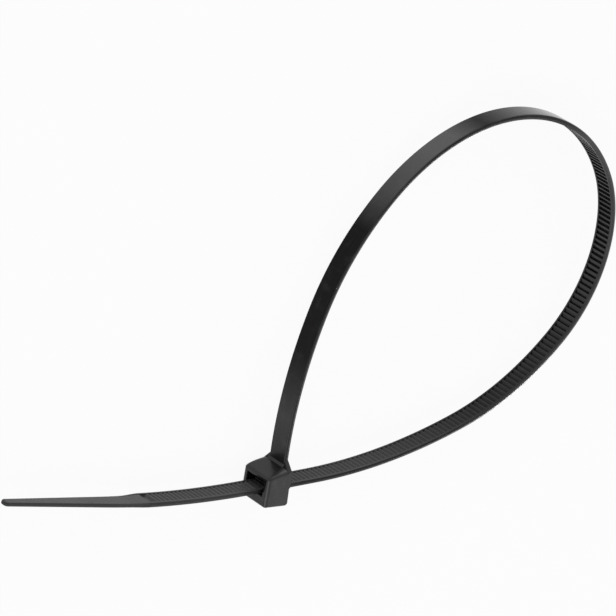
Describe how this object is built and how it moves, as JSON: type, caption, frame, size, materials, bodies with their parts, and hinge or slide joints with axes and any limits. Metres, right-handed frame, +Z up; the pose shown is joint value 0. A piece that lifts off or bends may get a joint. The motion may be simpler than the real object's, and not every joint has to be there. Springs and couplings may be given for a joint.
{
  "type": "cable tie",
  "caption": "Black nylon cable tie closed into a loop, with the toothed tail drawn through its square head and the plain pulling end sticking out.",
  "frame": {"origin": "on the head's lower side face, under the middle of the slot that the strap runs through", "axes": "+Z up, across the strap's width; +X towards the side of the head where the strap enters and the loop lies; +Y along the strap where it grows out of the head"},
  "size_m": [0.1721, 0.0809, 0.0082],
  "materials": {
    "black_nylon": "satin"
  },
  "bodies": {
    "root": {"cable_tie": "black_nylon"}
  },
  "joints": []
}
